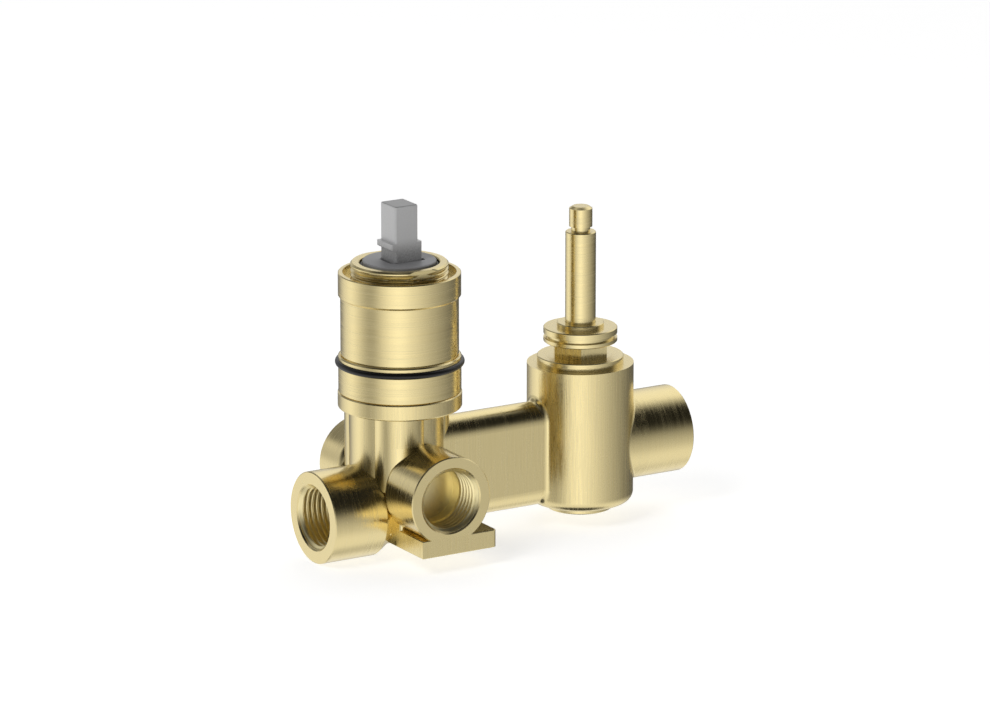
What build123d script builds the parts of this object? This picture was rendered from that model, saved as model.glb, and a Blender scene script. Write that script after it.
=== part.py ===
from build123d import *
import os
from math import cos, radians, sin

# Concealed shower mixer with a pull-up diverter, in millimetres.
# The origin is on the mixer tower's axis, at the height of the foot plate's underside.
# +X runs along the bar to the diverter tower, -Y to the hot port, +Z out of the wall.

# Port threads, G1/2
thread_major_r = 10.48
thread_minor_r = 9.32
thread_depth = 14.0
side_thread_depth = 10.7
side_bore_depth = 14.6
mouth_chamfer = 0.47
rim_break = 0.3
port_passage_r = 6.4
passage_stub = 1.5
side_drill_r = 3.0
side_drill_rise = 4.7
riser_sump = 0.6

# Hot and cold ports
side_port_r = 14.46
side_port_z = 17.8
hot_face_y = -32.34
cold_face_y = 27.6
side_port_end_y = 13.0
side_port_end_round = 3.2
side_passage_end_y = 6.0

# Lower outlet port, on -X
low_port_r = 15.03
low_port_z = 9.0
low_face_x = -32.36
low_port_length = 18.9
low_taper_length = 5.0
low_taper_step = 2.9

# Upper outlet port, on the diverter tower
top_port_r = 14.38
top_port_z = 19.4
top_face_x = 103.5

# Neck between the ports and the collar
core_r = 15.25
core_x = -1.47
neck_bottom_z = 3.0
lobe_r = 8.4
lobe_bottom_z = 17.8
lobe_x = -5.83
lobe_y = 9.13
mixed_lobe_r = 6.6
mixed_lobe_x = 10.68

# Collar and the threaded spigot for the sleeve
collar_r = 20.03
collar_bottom_z = 41.85
collar_top_z = 47.08
collar_round = 0.6
spigot_step = 1.0
cartridge_floor_z = 58.0

# Foot plate and the block above it
foot_left_x = -10.57
foot_right_x = 16.87
foot_rear_y = 12.0
foot_thickness = 5.9
foot_edge = 0.5
foot_corner = 1.1
block_front_y = -18.3
block_height = 10.0

# Bar with its two channels
bar_thickness = 12.8
bar_height = 34.8
bar_z = 18.5
channel_r = 3.6
upper_channel_z = 30.9
drill_run_out = 1.0
lower_channel_z = 7.2
lower_channel_r = 3.3

# Diverter tower
tower_x = 68.15
tower_r = 17.5
tower_top_z = 46.97
tower_bottom_round = 3.5
edge_window = 0.1
boss_r = 10.9
boss_drop = 2.2
root_fillet = 2.0
outlet_fillet = 1.0
edge_break = 0.25

# Diverter chamber, from the bottom up
chamber_bottom_z = 3.2
lower_chamber_r = 7.0
seat_floor_z = 10.8
seat_z = 12.1
seat_hole_r = 4.8
piston_bore_r = 10.2
inlet_chamber_z = 27.6
inlet_chamber_r = 11.2
window_bottom_z = 22.1
window_height = 3.8
window_width = 14.0

# Diverter bonnet
bonnet_thread_r = 10.6
bonnet_thread_clearance = 0.05
bonnet_bottom_z = 37.5
bonnet_flange_r = 14.16
bonnet_flange_top_z = 49.55
hex_flats = 17.0
hex_top_z = 54.1
groove_disc_r = 12.1
groove_bottom_r = 10.9
groove_z = 55.45
groove_height = 1.5
groove_disc_top_z = 59.0
step_r = 7.7
bonnet_top_z = 60.5
stop_bore_r = 7.2
stop_height = 1.5

# Spindle
spindle_r = 5.0
spindle_clearance = 0.06
spindle_top_z = 90.9
undercut_r = 3.1
undercut_height = 1.67
head_r = 3.8
head_height = 6.0
head_chamfer_height = 0.73
head_chamfer = 1.07
shaft_r = 4.0
tail_r = 2.0
stop_collar_r = 6.6
pull = 6.0
stop_gap = 0.1

# Spindle and bonnet seals
seal_section_r = 0.9
seal_slip = 0.03
lower_spindle_seal_z = 47.6
upper_spindle_seal_z = 52.0
bonnet_seal_section_r = 0.8
bonnet_seal_drop = 1.5

# Piston, its seals, washer and nut
piston_clearance = 0.06
piston_land = 7.8
washer_thickness = 2.0
washer_r = 5.9
passage_r = 1.3
passage_pitch_r = 7.4
passage_count = 6
piston_seal_section_r = 0.55
piston_seal_inset = 1.05
nut_flats = 7.0
nut_height = 3.0

# Cartridge sleeve
sleeve_r = 19.8
sleeve_mid_r = 19.03
sleeve_collar_r = 19.75
sleeve_collar_height = 8.2
sleeve_rim_rise = 7.36
sleeve_flange_z = 58.2
sleeve_flange_height = 1.0
sleeve_flange_break = 0.45
relief_depth = 0.43
relief_height = 0.45
rim_inner_r = 18.3
gutter_depth = 2.7
nut_bore_clearance = 0.05
chamber_r = 15.0
thread_clearance = 0.05
seat_gap = 0.6
seam_chamfer = 0.35

# Cover seal in the sleeve's outer groove
cover_seal_r = 20.84
cover_seal_section_r = 1.05
cover_seal_z = 56.75
groove_clearance = 0.05
sleeve_seal_section_r = 0.9
sleeve_seal_z = 49.2

# Retaining nut, M32 x 1.5
ring_step = 0.75
ring_wall = 2.85
ring_height = 10.7
ring_flat_depth = 0.9
ring_edge = 0.3

# Cartridge housing
housing_clearance = 0.2
housing_wall = 1.7
housing_height = 21.0
nut_bore_run_out = 1.0
neck_clearance = 0.15
neck_wall = 0.75
neck_height = 9.9
housing_ledge = 1.7

# Cartridge base, its ports, pegs and seals
base_flange_height = 2.0
insert_clearance = 0.2
base_height = 4.6
cartridge_port_r = 3.2
port_inset = 6.4
inlet_angle = 120.0
port_seal_r = 4.7
port_seal_height = 1.6
peg_r = 1.5
peg_length = 2.2
peg_inset = 3.8
peg_angles = (60.0, 180.0)
peg_clearance = 0.1

# Gasket and ceramic discs
gasket_thickness = 0.8
gasket_inset = 0.2
disc_film = 0.03
disc_inset = 0.7
fixed_disc_thickness = 3.5
moving_disc_inset = 1.8
moving_disc_thickness = 4.0
moving_disc_x = 2.0
mixing_recess_depth = 2.0
mixing_recess_r = 6.6
mixing_recess_offset = 1.6
inlet_sweep = 28.0
inlet_width = 5.5

# Disc carrier
carrier_plate = 4.17
tongue_half_y = 6.0
tongue_half_x = 5.2
tongue_height = 2.43
tongue_round = 1.0
lug_depth = 1.6
lug_width = 4.0
lug_reach = 1.5
lug_clearance = 0.08

# Lever guide
guide_flange_height = 2.0
guide_rise = 1.4
guide_clearance = 0.1
guide_slot_depth = 3.4
pocket_depth = 2.4
lever_swing = 15.0

# Lever stem and pin
pin_r = 1.5
pin_half_length = 10.6
pin_depth = 3.3
pin_clearance = 0.04
stem_half_x = 4.18
stem_half_y = 4.75
stem_head_height = 12.2
stem_round = 0.6
stem_edge = 0.3
shoulder_rise = 6.3
shoulder_step = 1.5
stem_sink = 0.4
tab_reach = 1.5
tab_height = 1.75
tab_chamfer = 0.85
stem_gap = 0.15
tilt_room = 1.25
shank_room = 0.6
shank_half_x = 3.0
shank_half_y = 3.6
ball_r = 2.9
lever_arm = 11.8
ball_clearance = 0.12
ball_neck_r = 1.9

# Worked-out radii, from the cartridge chamber outwards and inwards
spigot_r = chamber_r + spigot_step
ring_r = chamber_r + ring_step
ring_inner_r = ring_r - ring_wall
housing_r = chamber_r - housing_clearance
housing_bore_r = housing_r - housing_wall
housing_neck_r = ring_inner_r - neck_clearance
housing_neck_bore_r = housing_neck_r - neck_wall
base_spigot_r = housing_bore_r - insert_clearance
fixed_disc_r = housing_bore_r - disc_inset
gasket_r = fixed_disc_r - gasket_inset
moving_disc_r = fixed_disc_r - moving_disc_inset
guide_flange_r = housing_bore_r - insert_clearance
guide_r = housing_neck_bore_r - guide_clearance
cartridge_port_pitch_r = chamber_r - port_inset
peg_pitch_r = chamber_r - peg_inset

# Worked-out heights over the cartridge floor
sleeve_seat_z = cartridge_floor_z + seat_gap
housing_shoulder_z = cartridge_floor_z + housing_height
housing_top_z = housing_shoulder_z + neck_height
ring_top_z = housing_shoulder_z + ring_height
sleeve_top_z = housing_shoulder_z + sleeve_rim_rise
sleeve_collar_z = sleeve_top_z - sleeve_collar_height
guide_top_z = housing_top_z + guide_rise
pin_z = guide_top_z - pin_depth
ball_z = pin_z - lever_arm
stem_base_z = guide_top_z - stem_sink
shoulder_z = guide_top_z + shoulder_rise
stem_top_z = shoulder_z + stem_head_height

# Worked-out heights and places
side_drill_z = side_port_z + side_drill_rise
riser_bottom_z = side_drill_z - side_drill_r - riser_sump
port_x = cartridge_port_pitch_r * cos(radians(inlet_angle))
port_y = cartridge_port_pitch_r * sin(radians(inlet_angle))
cartridge_ports = [(port_x, -port_y), (port_x, port_y), (cartridge_port_pitch_r, 0)]
pegs = [(peg_pitch_r * cos(radians(a)), peg_pitch_r * sin(radians(a))) for a in peg_angles]
base_top_z = cartridge_floor_z + base_height
gasket_top_z = base_top_z + gasket_thickness
fixed_top_z = gasket_top_z + fixed_disc_thickness
moving_bottom_z = fixed_top_z + disc_film
moving_top_z = moving_bottom_z + moving_disc_thickness
carrier_top_z = moving_top_z + carrier_plate
tongue_top_z = carrier_top_z + tongue_height
housing_ledge_z = housing_shoulder_z - housing_ledge
guide_bottom_z = housing_ledge_z - guide_clearance - guide_flange_height
gutter_z = sleeve_top_z - gutter_depth
washer_top_z = seat_z + washer_thickness
piston_top_z = washer_top_z + piston_land
stop_shoulder_z = bonnet_bottom_z + stop_height + pull + stop_gap
spindle_head_z = spindle_top_z + undercut_height

hot_face = Plane(origin=(0, hot_face_y, side_port_z), x_dir=(1, 0, 0), z_dir=(0, -1, 0))
cold_face = Plane(origin=(0, cold_face_y, side_port_z), x_dir=(-1, 0, 0), z_dir=(0, 1, 0))
low_face = Plane(origin=(low_face_x, 0, low_port_z), x_dir=(0, -1, 0), z_dir=(-1, 0, 0))
top_face = Plane(origin=(top_face_x, 0, top_port_z), x_dir=(0, 1, 0), z_dir=(1, 0, 0))
tower_section = Plane(origin=(tower_x, 0, 0), x_dir=(1, 0, 0), z_dir=(0, -1, 0))


def turn(outline, section=Plane.XZ, mode=Mode.ADD):
    """Turn a closed outline of (radius, height) points round its section's upright axis."""
    with BuildSketch(section) as profile:
        with BuildLine():
            Polyline(*outline, close=True)
        make_face()
    revolve(profile.sketch, axis=Axis(section.origin, (0, 0, 1)), mode=mode)


def ring(inner_r, outer_r, bottom_z, top_z, section=Plane.XZ, mode=Mode.ADD):
    """Turn a plain ring, or a disc where the inner radius is 0."""
    turn([(inner_r, bottom_z), (outer_r, bottom_z), (outer_r, top_z), (inner_r, top_z)], section, mode)


def o_ring(centre_r, section_r, z, section=Plane.XZ):
    """Turn a round-section seal."""
    with BuildSketch(section) as profile:
        with Locations((centre_r, z)):
            Circle(section_r)
    revolve(profile.sketch, axis=Axis(section.origin, (0, 0, 1)))


def bore(face, radius, depth):
    """Cut a blind hole square into a face."""
    with BuildSketch(face) as mouth:
        Circle(radius)
    extrude(mouth.sketch, amount=-depth, mode=Mode.SUBTRACT)


def threaded_port(face, depth):
    """Cut a port's thread bore and its mouth chamfer."""
    bore(face, thread_major_r, depth)
    with BuildSketch(face) as mouth:
        Circle(thread_major_r + mouth_chamfer)
    extrude(mouth.sketch, amount=-mouth_chamfer, taper=45, mode=Mode.SUBTRACT)


def foot_plate():
    """Lay the foot plate: broken edges, and its two right-hand corners rounded."""
    with BuildSketch(Plane.XY.offset(edge_break)) as outline:
        with Locations(((foot_left_x + foot_right_x) / 2, (hot_face_y + foot_rear_y) / 2)):
            Rectangle(foot_right_x - foot_left_x, foot_rear_y - hot_face_y)
        fillet(outline.vertices().sort_by(Axis.X)[2:], radius=foot_corner)
    side_height = foot_thickness - 2 * edge_break
    extrude(outline.sketch, amount=-edge_break, taper=45)
    extrude(outline.sketch, amount=side_height)
    extrude(outline.sketch.moved(Location((0, 0, side_height))), amount=edge_break, taper=45)


def save(piece, name):
    """Label a finished piece and write it as its own node."""
    piece.part.label = name
    export_step(piece.part, f"parts/{name}.step")


os.makedirs("parts", exist_ok=True)

# Valve body: one brass casting
with BuildPart() as valve_body:
    # Hot and cold port cups, with rounded inner ends
    for face, length in ((hot_face, -hot_face_y - side_port_end_y), (cold_face, cold_face_y - side_port_end_y)):
        with BuildSketch(face):
            Circle(side_port_r)
        extrude(amount=-length)
    inner_rims = [
        valve_body.edges().filter_by(GeomType.CIRCLE).filter_by_position(Axis.Y, y - edge_window, y + edge_window)
        for y in (-side_port_end_y, side_port_end_y)
    ]
    fillet(inner_rims[0] + inner_rims[1], radius=side_port_end_round)
    outer_rims = [
        valve_body.edges().filter_by(GeomType.CIRCLE).filter_by_position(Axis.Y, y - edge_window, y + edge_window)
        for y in (hot_face_y, cold_face_y)
    ]
    chamfer(outer_rims[0] + outer_rims[1], length=rim_break)

    # Neck: core and mixed-water lobe, and two side lobes that start higher
    with BuildSketch(Plane.XY.offset(neck_bottom_z)):
        with Locations((core_x, 0)):
            Circle(core_r)
        with Locations((mixed_lobe_x, 0)):
            Circle(mixed_lobe_r)
    extrude(amount=collar_bottom_z + collar_round - neck_bottom_z)
    with BuildSketch(Plane.XY.offset(lobe_bottom_z)):
        with Locations((lobe_x, -lobe_y), (lobe_x, lobe_y)):
            Circle(lobe_r)
    extrude(amount=collar_bottom_z + collar_round - lobe_bottom_z)

    # Foot plate with broken edges, and the block that joins it to the neck
    foot_plate()
    with BuildSketch(Plane.XY.offset(foot_edge)):
        with Locations(((foot_left_x + foot_right_x) / 2, (block_front_y + foot_rear_y) / 2)):
            Rectangle(foot_right_x - foot_left_x, foot_rear_y - block_front_y)
        fillet(vertices(), radius=foot_corner)
    extrude(amount=block_height - foot_edge)

    # Lower outlet port with its taper into the body
    with BuildSketch(Plane.XZ):
        with BuildLine():
            Polyline(
                (low_face_x, low_port_z),
                (low_face_x, low_port_z + low_port_r - rim_break),
                (low_face_x + rim_break, low_port_z + low_port_r),
                (low_face_x + low_port_length, low_port_z + low_port_r),
                (low_face_x + low_port_length + low_taper_length, low_port_z + low_port_r - low_taper_step),
                (0, low_port_z + low_port_r - low_taper_step),
                (0, low_port_z),
                close=True,
            )
        make_face()
    revolve(axis=Axis((0, 0, low_port_z), (1, 0, 0)))

    # Collar and threaded spigot
    turn([
        (0, collar_bottom_z),
        (collar_r, collar_bottom_z),
        (collar_r, collar_top_z - seam_chamfer),
        (collar_r - seam_chamfer, collar_top_z),
        (spigot_r, collar_top_z),
        (spigot_r, cartridge_floor_z),
        (0, cartridge_floor_z),
    ])
    collar_circles = valve_body.edges().filter_by(GeomType.CIRCLE)
    collar_edges = collar_circles.filter_by_position(
        Axis.Z, collar_bottom_z - edge_window, collar_bottom_z + edge_window
    )
    fillet(collar_edges.sort_by(SortBy.RADIUS)[-1], radius=collar_round)

    # Diverter tower, rounded at the bottom
    with BuildSketch(Plane.XY):
        with Locations((tower_x, 0)):
            Circle(tower_r)
    extrude(amount=tower_top_z)
    tower_circles = valve_body.edges().filter_by(GeomType.CIRCLE).filter_by_position(Axis.Z, -edge_window, edge_window)
    fillet(tower_circles.sort_by(SortBy.RADIUS)[-1], radius=tower_bottom_round)

    # Upper outlet port, with a small fillet round its root
    with BuildSketch(top_face):
        Circle(top_port_r)
    extrude(amount=-(top_face_x - tower_x))
    upper_rim = valve_body.edges().filter_by_position(Axis.X, top_face_x - edge_window, top_face_x + edge_window)
    chamfer(upper_rim, length=rim_break)
    port_root = valve_body.edges().filter_by_position(Axis.X, tower_x + tower_r / 2, tower_x + tower_r)
    fillet(port_root.sort_by(SortBy.LENGTH)[-1], radius=outlet_fillet)

    # Bar between the towers, with cast fillets where it meets the diverter tower
    with BuildSketch(Plane.YZ):
        with Locations((0, bar_z)):
            SlotOverall(bar_height, bar_thickness, rotation=90)
    extrude(amount=tower_x)
    near_tower = valve_body.edges().filter_by_position(Axis.X, tower_x - tower_r - edge_window, tower_x - 0.9 * tower_r)
    bar_root = near_tower.filter_by_position(Axis.Z, 0, bar_z + bar_height / 2 + edge_window)
    fillet(bar_root, radius=root_fillet)

    # Bottom boss of the diverter tower
    turn([
        (0, -boss_drop),
        (boss_r - edge_break, -boss_drop),
        (boss_r, edge_break - boss_drop),
        (boss_r, edge_break),
        (0, edge_break),
    ], tower_section)

    # Spigot groove for the sleeve's seal
    seal_half_groove = sleeve_seal_section_r + groove_clearance
    ring(
        spigot_r - 2 * seal_half_groove,
        spigot_r,
        sleeve_seal_z - seal_half_groove,
        sleeve_seal_z + seal_half_groove,
        mode=Mode.SUBTRACT,
    )

    # Hot and cold ports: thread, tapping bore and an offset drill to the upright passage
    for face in (hot_face, cold_face):
        threaded_port(face, side_thread_depth)
        bore(face, thread_minor_r, side_bore_depth)
    with BuildSketch(Plane.XZ.offset(-side_passage_end_y)):
        with Locations((port_x, side_drill_z)):
            Circle(side_drill_r)
    extrude(amount=-(cold_face_y - side_bore_depth - side_passage_end_y), mode=Mode.SUBTRACT)
    with BuildSketch(Plane.XZ.offset(side_passage_end_y)):
        with Locations((port_x, side_drill_z)):
            Circle(side_drill_r)
    extrude(amount=-hot_face_y - side_bore_depth - side_passage_end_y, mode=Mode.SUBTRACT)

    # Lower and upper outlet ports with their passages
    for face in (low_face, top_face):
        threaded_port(face, thread_depth)
        bore(face, port_passage_r, thread_depth + passage_stub)

    # Three upright passages to the cartridge floor, and the peg holes
    with BuildSketch(Plane.XY.offset(cartridge_floor_z)):
        with Locations(cartridge_ports[0], cartridge_ports[1]):
            Circle(cartridge_port_r)
    extrude(amount=riser_bottom_z - cartridge_floor_z, mode=Mode.SUBTRACT)
    with BuildSketch(Plane.XY.offset(cartridge_floor_z)):
        with Locations(cartridge_ports[2]):
            Circle(cartridge_port_r)
    extrude(amount=upper_channel_z - cartridge_floor_z, mode=Mode.SUBTRACT)
    with BuildSketch(Plane.XY.offset(cartridge_floor_z)):
        with Locations(*pegs):
            Circle(peg_r + peg_clearance)
    extrude(amount=-(peg_length + peg_clearance), mode=Mode.SUBTRACT)

    # Upper channel of the bar carries mixed water, the lower one leads back to the lower outlet
    upper_channel_x = cartridge_port_pitch_r - cartridge_port_r - drill_run_out
    with BuildSketch(Plane.YZ.offset(upper_channel_x)):
        with Locations((0, upper_channel_z)):
            Circle(channel_r)
    extrude(amount=tower_x - upper_channel_x, mode=Mode.SUBTRACT)
    with BuildSketch(Plane.YZ.offset(low_face_x + thread_depth)):
        with Locations((0, lower_channel_z)):
            Circle(lower_channel_r)
    extrude(amount=tower_x - low_face_x - thread_depth, mode=Mode.SUBTRACT)

    # Diverter chamber: thread for the bonnet, inlet, piston bore, seat and lower chamber
    with BuildSketch(tower_section):
        with BuildLine():
            Polyline(
                (0, chamber_bottom_z),
                (lower_chamber_r, chamber_bottom_z),
                (lower_chamber_r, seat_floor_z),
                (seat_hole_r, seat_floor_z),
                (seat_hole_r, seat_z),
                (piston_bore_r, seat_z),
                (piston_bore_r, inlet_chamber_z),
                (inlet_chamber_r, inlet_chamber_z + inlet_chamber_r - piston_bore_r),
                (inlet_chamber_r, bonnet_bottom_z),
                (bonnet_thread_r + bonnet_thread_clearance, bonnet_bottom_z),
                (bonnet_thread_r + bonnet_thread_clearance, tower_top_z),
                (0, tower_top_z),
                close=True,
            )
        make_face()
    revolve(axis=Axis(tower_section.origin, (0, 0, 1)), mode=Mode.SUBTRACT)

    # Window from the piston bore to the upper outlet
    with BuildSketch(Plane.YZ.offset(tower_x)):
        with Locations((0, window_bottom_z + window_height / 2)):
            SlotOverall(window_width, window_height)
    extrude(amount=top_face_x - thread_depth - tower_x, mode=Mode.SUBTRACT)
save(valve_body, "valve_body")

# Cartridge sleeve, turned, screwed on the spigot
with BuildPart() as cartridge_sleeve:
    spigot_bore_r = spigot_r + thread_clearance
    seal_floor_r = cover_seal_r - 2 * cover_seal_section_r - groove_clearance
    seal_top_z = cover_seal_z + cover_seal_section_r + groove_clearance
    seal_bottom_z = cover_seal_z - cover_seal_section_r - groove_clearance
    flange_top_z = sleeve_flange_z + sleeve_flange_height
    turn([
        (spigot_bore_r, collar_top_z),
        (sleeve_r - seam_chamfer, collar_top_z),
        (sleeve_r, collar_top_z + seam_chamfer),
        (sleeve_r, seal_bottom_z),
        (seal_floor_r, seal_bottom_z),
        (seal_floor_r, seal_top_z),
        (sleeve_r, seal_top_z),
        (sleeve_r, flange_top_z - sleeve_flange_break),
        (sleeve_r - sleeve_flange_break, flange_top_z),
        (sleeve_mid_r - relief_depth, flange_top_z),
        (sleeve_mid_r - relief_depth, flange_top_z + relief_height),
        (sleeve_mid_r, flange_top_z + relief_height),
        (sleeve_mid_r, sleeve_collar_z),
        (sleeve_collar_r, sleeve_collar_z + sleeve_collar_r - sleeve_mid_r),
        (sleeve_collar_r, sleeve_top_z - edge_break),
        (sleeve_collar_r - edge_break, sleeve_top_z),
        (rim_inner_r, sleeve_top_z),
        (rim_inner_r, gutter_z),
        (ring_r + nut_bore_clearance, gutter_z),
        (ring_r + nut_bore_clearance, housing_shoulder_z - nut_bore_run_out),
        (chamber_r, housing_shoulder_z - nut_bore_run_out),
        (chamber_r, sleeve_seat_z),
        (spigot_bore_r, sleeve_seat_z),
    ])
save(cartridge_sleeve, "cartridge_sleeve")

# Cover seal, which the wall plate's collar slides over
with BuildPart() as cover_seal:
    o_ring(cover_seal_r - cover_seal_section_r, cover_seal_section_r, cover_seal_z)
save(cover_seal, "cover_seal")

# Sleeve seal, in the spigot's groove
with BuildPart() as sleeve_seal:
    o_ring(spigot_r - sleeve_seal_section_r, sleeve_seal_section_r, sleeve_seal_z)
save(sleeve_seal, "sleeve_seal")

# Retaining nut with two wrench flats
with BuildPart() as retaining_nut:
    turn([
        (ring_inner_r, housing_shoulder_z),
        (ring_r, housing_shoulder_z),
        (ring_r, ring_top_z - ring_edge),
        (ring_r - ring_edge, ring_top_z),
        (ring_inner_r + ring_edge, ring_top_z),
        (ring_inner_r, ring_top_z - ring_edge),
    ])
    with BuildSketch(Plane.XY.offset(gutter_z)):
        flat_middle = ring_r - ring_flat_depth / 2
        with Locations((0, flat_middle), (0, -flat_middle)):
            Rectangle(2 * ring_r, ring_flat_depth)
    extrude(amount=ring_top_z - gutter_z, mode=Mode.SUBTRACT)
save(retaining_nut, "retaining_nut")

# Cartridge base with three ports, seal recesses, pegs and upright lugs
with BuildPart() as cartridge_base:
    ring(0, housing_r, cartridge_floor_z, cartridge_floor_z + base_flange_height)
    ring(0, base_spigot_r, cartridge_floor_z, base_top_z)
    with BuildSketch(Plane.XY.offset(base_top_z)):
        with PolarLocations(fixed_disc_r - lug_reach / 2, 3, start_angle=60):
            Rectangle(lug_reach, lug_width)
    extrude(amount=gasket_thickness + lug_depth)
    with BuildSketch(Plane.XY.offset(cartridge_floor_z)):
        with Locations(*pegs):
            Circle(peg_r)
    extrude(amount=-peg_length)
    with BuildSketch(Plane.XY.offset(cartridge_floor_z)):
        with Locations(*cartridge_ports):
            Circle(cartridge_port_r)
    extrude(amount=base_height, mode=Mode.SUBTRACT)
    with BuildSketch(Plane.XY.offset(cartridge_floor_z)):
        with Locations(*cartridge_ports):
            Circle(port_seal_r)
    extrude(amount=port_seal_height, mode=Mode.SUBTRACT)
save(cartridge_base, "cartridge_base")

# Port seals in the base's recesses
for port_name, port in zip(("hot", "cold", "mixed"), cartridge_ports):
    with BuildPart() as port_seal:
        with BuildSketch(Plane.XY.offset(cartridge_floor_z)):
            with Locations(port):
                Circle(port_seal_r)
                Circle(cartridge_port_r, mode=Mode.SUBTRACT)
        extrude(amount=port_seal_height)
    save(port_seal, f"{port_name}_port_seal")

# Gasket between base and fixed disc
with BuildPart() as disc_gasket:
    with BuildSketch(Plane.XY.offset(base_top_z)):
        Circle(gasket_r)
        with Locations(*cartridge_ports):
            Circle(cartridge_port_r, mode=Mode.SUBTRACT)
        with PolarLocations(fixed_disc_r - lug_reach / 2, 3, start_angle=60):
            Rectangle(lug_reach + 2 * lug_clearance, lug_width + 2 * lug_clearance, mode=Mode.SUBTRACT)
    extrude(amount=gasket_thickness)
save(disc_gasket, "disc_gasket")

# Fixed ceramic disc: two curved inlets and a round outlet
with BuildPart() as fixed_ceramic_disc:
    with BuildSketch(Plane.XY.offset(gasket_top_z)):
        Circle(fixed_disc_r)
        inlet_arc = CenterArc(
            (0, 0), cartridge_port_pitch_r, inlet_angle - inlet_sweep / 2, inlet_sweep, mode=Mode.PRIVATE
        )
        inlet_slot = SlotArc(inlet_arc, inlet_width, mode=Mode.PRIVATE)
        add(inlet_slot, mode=Mode.SUBTRACT)
        add(mirror(inlet_slot, about=Plane.XZ, mode=Mode.PRIVATE), mode=Mode.SUBTRACT)
        with Locations(cartridge_ports[2]):
            Circle(cartridge_port_r, mode=Mode.SUBTRACT)
    extrude(amount=fixed_disc_thickness)
    with BuildSketch(Plane.XY.offset(gasket_top_z)):
        with PolarLocations(fixed_disc_r - lug_reach / 2, 3, start_angle=60):
            Rectangle(lug_reach + 2 * lug_clearance, lug_width + 2 * lug_clearance)
    extrude(amount=lug_depth + lug_clearance, mode=Mode.SUBTRACT)
save(fixed_ceramic_disc, "fixed_ceramic_disc")

# Moving ceramic disc with its mixing recess underneath
with BuildPart() as moving_ceramic_disc:
    with BuildSketch(Plane.XY.offset(moving_bottom_z)):
        with Locations((moving_disc_x, 0)):
            Circle(moving_disc_r)
    extrude(amount=moving_disc_thickness)
    with BuildSketch(Plane.XY.offset(moving_bottom_z)):
        with Locations((moving_disc_x + mixing_recess_offset, 0)):
            Circle(mixing_recess_r)
    extrude(amount=mixing_recess_depth, mode=Mode.SUBTRACT)
    with BuildSketch(Plane.XY.offset(moving_top_z)):
        with Locations((moving_disc_x, 0)):
            with PolarLocations(moving_disc_r - lug_reach / 2, 2, start_angle=90):
                Rectangle(lug_reach + 2 * lug_clearance, lug_width + 2 * lug_clearance)
    extrude(amount=-(lug_depth + lug_clearance), mode=Mode.SUBTRACT)
save(moving_ceramic_disc, "moving_ceramic_disc")

# Disc carrier: plate, two lugs down into the disc, and the tongue with the ball socket
with BuildPart() as disc_carrier:
    with BuildSketch(Plane.XY.offset(moving_top_z)):
        with Locations((moving_disc_x, 0)):
            Circle(moving_disc_r)
    extrude(amount=carrier_plate)
    with BuildSketch(Plane.XY.offset(moving_top_z)):
        with Locations((moving_disc_x, 0)):
            with PolarLocations(moving_disc_r - lug_reach / 2, 2, start_angle=90):
                Rectangle(lug_reach - lug_clearance, lug_width)
    extrude(amount=-lug_depth)
    with BuildSketch(Plane.XY.offset(carrier_top_z)):
        Rectangle(2 * tongue_half_x, 2 * tongue_half_y)
        fillet(vertices(), radius=tongue_round)
    extrude(amount=tongue_height)
    with BuildSketch(Plane.XY.offset(tongue_top_z)):
        Circle(ball_r + ball_clearance)
    extrude(amount=ball_z - ball_r - ball_clearance - tongue_top_z, mode=Mode.SUBTRACT)
save(disc_carrier, "disc_carrier")

# Cartridge housing with its shoulder, neck and inner ledge
with BuildPart() as cartridge_housing:
    housing_bottom_z = cartridge_floor_z + base_flange_height
    turn([
        (housing_bore_r, housing_bottom_z),
        (housing_r, housing_bottom_z),
        (housing_r, housing_shoulder_z),
        (housing_neck_r, housing_shoulder_z),
        (housing_neck_r, housing_top_z - edge_break),
        (housing_neck_r - edge_break, housing_top_z),
        (housing_neck_bore_r, housing_top_z),
        (housing_neck_bore_r, housing_ledge_z),
        (housing_bore_r, housing_ledge_z),
    ])
save(cartridge_housing, "cartridge_housing")

# Lever guide: rotor disc with tongue channel, stem cavity, top pocket and pin hole
with BuildPart() as lever_guide:
    turn([
        (0, guide_bottom_z),
        (guide_flange_r, guide_bottom_z),
        (guide_flange_r, guide_bottom_z + guide_flange_height),
        (guide_r, guide_bottom_z + guide_flange_height),
        (guide_r, guide_top_z - ring_edge),
        (guide_r - ring_edge, guide_top_z),
        (0, guide_top_z),
    ])
    with BuildSketch(Plane.XY.offset(guide_bottom_z)):
        Rectangle(2 * guide_flange_r, 2 * (tongue_half_y + lug_clearance))
    extrude(amount=guide_slot_depth, mode=Mode.SUBTRACT)
    swing = (pin_z - guide_bottom_z - guide_slot_depth) * sin(radians(lever_swing))
    cavity_left = -shank_half_x - swing - stem_gap
    cavity_right = shank_half_x + shank_room
    with BuildSketch(Plane.XY.offset(guide_bottom_z)):
        with Locations(((cavity_left + cavity_right) / 2, 0)):
            Rectangle(cavity_right - cavity_left, 2 * (shank_half_y + stem_gap))
    extrude(amount=guide_top_z - guide_bottom_z, mode=Mode.SUBTRACT)
    pocket_left = -stem_half_x - stem_gap
    pocket_right = stem_half_x + shoulder_step + tilt_room
    with BuildSketch(Plane.XY.offset(guide_top_z)):
        with Locations(((pocket_left + pocket_right) / 2, 0)):
            Rectangle(pocket_right - pocket_left, 2 * (stem_half_y + stem_gap))
            fillet(vertices(), radius=stem_round)
    extrude(amount=-pocket_depth, mode=Mode.SUBTRACT)
    with BuildSketch(Plane.XZ.offset(-pin_half_length)):
        with Locations((0, pin_z)):
            Circle(pin_r)
    extrude(amount=2 * pin_half_length, mode=Mode.SUBTRACT)
save(lever_guide, "lever_guide")

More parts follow.
